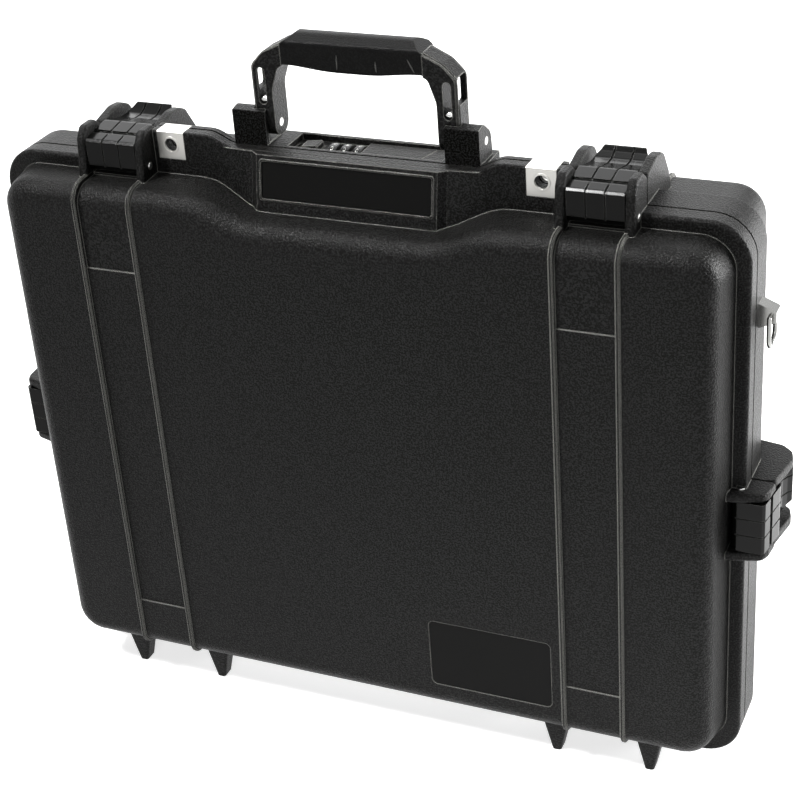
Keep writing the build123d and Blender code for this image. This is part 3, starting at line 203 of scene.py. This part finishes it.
MATERIALS = {
    "shell_polymer": finish(
        "case_polymer", BLACK, 0.5, specular=0.08,
        scale=850.0, strength=0.9, distance=0.0007, rough=(0.30, 0.38),
        edge=0.0012, worn=(0.26, 0.26, 0.24), speckle=0.014, seam=True,
    ),
    "latch_polymer": finish(
        "latch_polymer", (0.0015, 0.0015, 0.0013), 0.3, specular=0.13,
        scale=1300.0, strength=0.15, distance=0.0002, rough=(0.12, 0.2),
        edge=0.0006, worn=(0.08, 0.08, 0.075), cavity=0.003,
    ),
    "pin_steel": finish(
        "pin_steel", (0.6, 0.6, 0.585), 0.28, metallic=1.0,
        scale=2200.0, strength=0.05, distance=0.0001, rough=(0.22, 0.34),
    ),
    "latch_steel": finish(
        "latch_steel", (0.56, 0.56, 0.57), 0.35, metallic=1.0,
        scale=1800.0, strength=0.08, distance=0.0001, rough=(0.28, 0.4),
    ),
    "plate_steel": finish(
        "plate_steel", (0.6, 0.59, 0.56), 0.34, metallic=1.0,
        scale=900.0, strength=0.1, distance=0.0001, rough=(0.30, 0.38), edge=0.0004,
    ),
    "ring_steel": finish(
        "ring_steel", (0.3, 0.3, 0.29), 0.2, metallic=1.0,
        scale=1800.0, strength=0.05, distance=0.0001, rough=(0.16, 0.26),
    ),
    "dial_polymer": finish(
        "dial_polymer", (0.012, 0.012, 0.012), 0.3, specular=0.4,
        scale=1500.0, strength=0.1, distance=0.0001, rough=(0.24, 0.34), edge=0.0003,
    ),
    "grip_rubber": finish(
        "grip_rubber", (0.0015, 0.0015, 0.0013), 0.5, specular=0.08,
        scale=1100.0, strength=0.6, distance=0.0005, rough=(0.34, 0.42),
        edge=0.0012, worn=(0.07, 0.07, 0.065), speckle=0.004,
    ),
    "seal_rubber": finish(
        "seal_rubber", (0.02, 0.02, 0.02), 0.7,
        scale=1100.0, strength=0.3, distance=0.0003, rough=(0.6, 0.75),
    ),
    "foam": finish("foam", (0.045, 0.045, 0.048), 0.95, scale=900.0, strength=0.8, distance=0.0006),
    "blank_plate": finish(
        "blank_plate", (0.003, 0.003, 0.0028), 0.3, specular=0.07,
        scale=1600.0, strength=0.12, distance=0.0001, rough=(0.3, 0.4),
    ),
    "valve_polymer": finish(
        "valve_polymer", (0.012, 0.012, 0.012), 0.4,
        scale=1400.0, strength=0.1, distance=0.0001, rough=(0.34, 0.44), edge=0.0004,
    ),
}

SLOT_OF = {entry["node"]: entry["material_slot"] for entry in frame["record"]["subparts"]}
for node, obj in frame["nodes"].items():
    obj.data.materials.clear()
    obj.data.materials.append(MATERIALS[SLOT_OF[node]])


# ------------------------------------------------------------- surface pieces
def piece_from(name, verts, faces, mat, body, smooth=True):
    """Mesh piece that rides on a body and takes the given finish."""
    mesh = bpy.data.meshes.new(name)
    mesh.from_pydata(verts, [], faces)
    mesh.validate()
    mesh.update()
    for face in mesh.polygons:
        face.use_smooth = smooth
    obj = bpy.data.objects.new(name, mesh)
    bpy.context.scene.collection.objects.link(obj)
    obj.data.materials.append(mat)
    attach(obj, body)
    return obj


# generic numbers 0 to 9 round each of the lock's three dials
DIGIT_SIZE = 4.6 * MM
DIGIT_LIFT = 0.04 * MM
DIGIT_FIRST, DIGIT_STEP = 118.0, 36.0  # degrees round the dial


def digit_mesh(digit, size):
    """Flat mesh of one digit in Blender's own plain font, centred on the origin."""
    curve = bpy.data.curves.new("digit", "FONT")
    curve.body = str(digit)
    curve.size = size
    curve.resolution_u = 3
    curve.align_x = "CENTER"
    curve.align_y = "CENTER"
    holder = bpy.data.objects.new("digit", curve)
    bpy.context.scene.collection.objects.link(holder)
    bpy.context.view_layer.update()
    shape = holder.evaluated_get(bpy.context.evaluated_depsgraph_get())
    mesh = bpy.data.meshes.new_from_object(shape)
    bpy.data.objects.remove(holder)
    bpy.data.curves.remove(curve)
    return mesh


ink = finish(
    "dial_ink", (0.75, 0.75, 0.72), 0.5,
    scale=2600.0, strength=0.2, distance=0.0001, rough=(0.4, 0.6),
)
digits = [digit_mesh(digit, DIGIT_SIZE) for digit in range(10)]
for dial in range(1, 4):
    low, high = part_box(f"lock_dial_{dial}")
    middle = (Vector(low) + Vector(high)) / 2
    radius = (high[2] - low[2]) / 2 + DIGIT_LIFT
    verts, faces = [], []
    for digit, mesh in enumerate(digits):
        angle = math.radians(DIGIT_FIRST + DIGIT_STEP * digit)
        start = len(verts)
        for corner in mesh.vertices:
            # the flat digit is bent round the dial
            bend = angle - corner.co.y / radius
            around = Vector((corner.co.x, radius * math.cos(bend), radius * math.sin(bend)))
            verts.append(middle + around)
        faces += [[start + index for index in face.vertices] for face in mesh.polygons]
    piece_from(
        f"dial_numbers_{dial}", verts, faces, ink, f"dial_{dial}", smooth=False
    )

# steel pins: across the foot of each leg's slot, and the heads of the latch pins
SLOT_PIN_X, SLOT_PIN_Y, SLOT_PIN_Z = 62.7 * MM, -8.8 * MM, 444.6 * MM
SLOT_PIN_RADIUS, SLOT_PIN_LENGTH = 2.3 * MM, 5.3 * MM
HEAD_RADIUS, HEAD_THICKNESS = 2.1 * MM, 1.0 * MM
# half of a pin's outline, as shares of its length and radius
PIN_PROFILE = (
    (-0.5, 0.0), (-0.5, 0.72), (-0.46, 0.9), (-0.38, 1.0),
    (0.38, 1.0), (0.46, 0.9), (0.5, 0.72), (0.5, 0.0),
)


def pill(centre, axis, radius, length, sides=20):
    """Vertices and faces of a short pin with rounded rims, along the x, y or z axis."""
    verts, faces = [], []
    for along, out in PIN_PROFILE:
        for side in range(sides):
            turn_by = 2 * math.pi * side / sides
            a = radius * out * math.cos(turn_by)
            b = radius * out * math.sin(turn_by)
            spot = {"x": (along * length, a, b), "y": (b, along * length, a), "z": (a, b, along * length)}
            verts.append(Vector(centre) + Vector(spot[axis]))
    for ring in range(len(PIN_PROFILE) - 1):
        for side in range(sides):
            a, b = ring * sides + side, ring * sides + (side + 1) % sides
            faces.append((a, b, b + sides, a + sides))
    return verts, faces


for side, x in (("left", -1), ("right", 1)):
    centre = (x * SLOT_PIN_X, SLOT_PIN_Y, SLOT_PIN_Z)
    verts, faces = pill(centre, "x", SLOT_PIN_RADIUS, SLOT_PIN_LENGTH)
    piece_from(f"slot_pin_{side}", verts, faces, MATERIALS["pin_steel"], "handle")
for node in [name for name in frame["nodes"] if name.startswith("latch_pin_")]:
    low, high = (Vector(corner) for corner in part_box(node))
    size = high - low
    axis = "xyz"[max(range(3), key=lambda number: size[number])]
    middle = (low + high) / 2
    for end, reach in (("a", low), ("b", high)):
        centre = middle.copy()
        setattr(centre, axis, getattr(reach, axis))
        verts, faces = pill(centre, axis, HEAD_RADIUS, HEAD_THICKNESS)
        piece_from(f"{node}_head_{end}", verts, faces, MATERIALS["pin_steel"], "lid")

# three raised moulding lines on the front of the grip: low end and high end of each, as x and z in mm
GRIP_LINES = (
    ((-9.2, 468.6), (-8.9, 478.0)),
    ((17.2, 469.0), (16.8, 476.0)),
    ((42.4, 470.6), (38.0, 479.0)),
)
GRIP_FACE_Y = -12.28
LINE_WIDTH, LINE_RISE = 1.0 * MM, 0.45 * MM
LINE_STEPS = 8
LINE_END = 0.15  # share of a step by which a line's blunt end falls short of a point


def bead(path, width, rise, sides=8):
    """Half-round bead on a face that looks along -y, tapered almost to nothing at its two ends."""
    verts, faces = [], []
    count = len(path)
    for index, (x, y, z) in enumerate(path):
        before, after = Vector(path[max(index - 1, 0)]), Vector(path[min(index + 1, count - 1)])
        across = (after - before).cross(Vector((0, 1, 0))).normalized()
        full = math.sin(math.pi * (index + LINE_END) / (count - 1 + 2 * LINE_END)) ** 0.5
        for side in range(sides + 1):
            turn_by = math.pi * side / sides
            offset = across * (0.5 * width * full * math.cos(turn_by))
            verts.append(Vector((x, y - rise * full * math.sin(turn_by), z)) + offset)
    for index in range(count - 1):
        for side in range(sides):
            a = index * (sides + 1) + side
            faces.append((a, a + 1, a + sides + 2, a + sides + 1))
    return verts, faces


ridge = finish(
    "grip_ridge", (0.06, 0.06, 0.056), 0.4, specular=0.3,
    scale=1800.0, strength=0.2, distance=0.0001, rough=(0.35, 0.45),
)
for number, ((x_low, z_low), (x_high, z_high)) in enumerate(GRIP_LINES, start=1):
    path = []
    for step in range(LINE_STEPS + 1):
        t = step / LINE_STEPS
        x, z = x_low + (x_high - x_low) * t, z_low + (z_high - z_low) * t
        path.append((x * MM, GRIP_FACE_Y * MM, z * MM))
    verts, faces = bead(path, LINE_WIDTH, LINE_RISE)
    piece_from(f"grip_line_{number}", verts, faces, ridge, "handle")

# ---------------------------------------------------------------- floor, light
FLOOR_SIZE = 12.0
FLOOR_DROP = 0.0002  # below the feet, so that the two faces don't share a plane
FLOOR_GLOW = 0.7  # added to the lit floor, to make it white where it is seen
WORLD_LIGHT = 0.1
WHITE = 1.0


def area_light(name, place, target, size, power, spread=180.0):
    """Soft studio light at place that looks at target."""
    data = bpy.data.lights.new(name, "AREA")
    data.shape = "RECTANGLE"
    data.spread = math.radians(spread)
    data.size, data.size_y = size
    data.energy = power
    light = bpy.data.objects.new(name, data)
    bpy.context.scene.collection.objects.link(light)
    direction = Vector(target) - Vector(place)
    turn_to = direction.to_track_quat("-Z", "Y").to_matrix().to_4x4()
    light.matrix_world = Matrix.Translation(place) @ turn_to
    return light


def backdrop_strength(nodes, links, plain, shown):
    """Strength that is plain on the object, and shown to the camera and in reflections."""
    ray = nodes.new("ShaderNodeLightPath")
    seen = nodes.new("ShaderNodeMath")
    seen.operation = "MAXIMUM"
    links.new(ray.outputs["Is Camera Ray"], seen.inputs[0])
    links.new(ray.outputs["Is Glossy Ray"], seen.inputs[1])
    through = nodes.new("ShaderNodeMath")
    through.operation = "MAXIMUM"
    links.new(seen.outputs["Value"], through.inputs[0])
    links.new(ray.outputs["Is Transmission Ray"], through.inputs[1])
    strength = map_range(nodes, (plain, shown))
    links.new(through.outputs["Value"], strength.inputs["Value"])
    return strength.outputs["Result"]


# the floor keeps the object's shadow, and its glow makes it white
floor_mat = material("floor", (0.8, 0.8, 0.8), 0.9, specular=0.0)
nodes, links = nodes_of(floor_mat)
surface = nodes["Principled BSDF"]
surface.inputs["Emission Color"].default_value = (1.0, 1.0, 1.0, 1.0)
links.new(backdrop_strength(nodes, links, 0.0, FLOOR_GLOW), surface.inputs["Emission Strength"])
bpy.ops.mesh.primitive_plane_add(size=FLOOR_SIZE, location=(0, 0, -FLOOR_DROP))
floor = bpy.context.object
floor.name = "floor"
floor.data.materials.append(floor_mat)

# name, place, target, size in metres, power in watts, spread in degrees
area_light("top_softbox", (0.1, 1.25, 2.2), (0.1, 1.2501, 0), (4.4, 2.4), 28, 60)
area_light("key_softbox", (-1.2, -1.2, 3.1), (-0.05, -0.03, 0.42), (0.9, 0.7), 3, 15)
area_light("back_softbox", (-1.3, 3.1, 2.2), (0, 0, 0.4), (4.6, 3.0), 90)
area_light("right_softbox", (2.4, 1.6, 0.8), (0, 0, 0.2), (1.6, 1.4), 210)
area_light("front_softbox", (0.6, -3.0, 1.3), (0.1, -0.05, -0.1), (2.4, 1.2), 2.4, 40)

world = bpy.data.worlds.new("studio")
bpy.context.scene.world = world
world.use_nodes = True
nodes, links = world.node_tree.nodes, world.node_tree.links
nodes["Background"].inputs["Color"].default_value = (0.98, 0.99, 1.0, 1.0)
links.new(
    backdrop_strength(nodes, links, WORLD_LIGHT, WHITE), nodes["Background"].inputs["Strength"]
)

# ---------------------------------------------------------------------- camera
AZIMUTH, ELEVATION, ROLL = (math.radians(angle) for angle in (25.23, 29.3, -4.41))
FOCAL_PIXELS, FRAME_PIXELS = 1877.0, 800.0
SENSOR_WIDTH = 36.0
CAMERA_PLACE = (0.48115, -0.99909, 0.85263)

flat_x, flat_y = math.sin(AZIMUTH), -math.cos(AZIMUTH)
back = Vector((
    flat_x * math.cos(ELEVATION), flat_y * math.cos(ELEVATION), math.sin(ELEVATION)
))
right = Vector((math.cos(AZIMUTH), math.sin(AZIMUTH), 0.0))
up = right.cross(-back)
right_rolled = math.cos(ROLL) * right + math.sin(ROLL) * up
up_rolled = -math.sin(ROLL) * right + math.cos(ROLL) * up
camera_data = bpy.data.cameras.new("camera")
camera_data.sensor_width = SENSOR_WIDTH
camera_data.lens = SENSOR_WIDTH * FOCAL_PIXELS / FRAME_PIXELS
camera_data.clip_end = 50.0
camera = bpy.data.objects.new("camera", camera_data)
bpy.context.scene.collection.objects.link(camera)
turn = Matrix((right_rolled, up_rolled, back)).transposed().to_4x4()
camera.matrix_world = Matrix.Translation(CAMERA_PLACE) @ turn
bpy.context.scene.camera = camera
bpy.context.scene.view_settings.view_transform = "Standard"
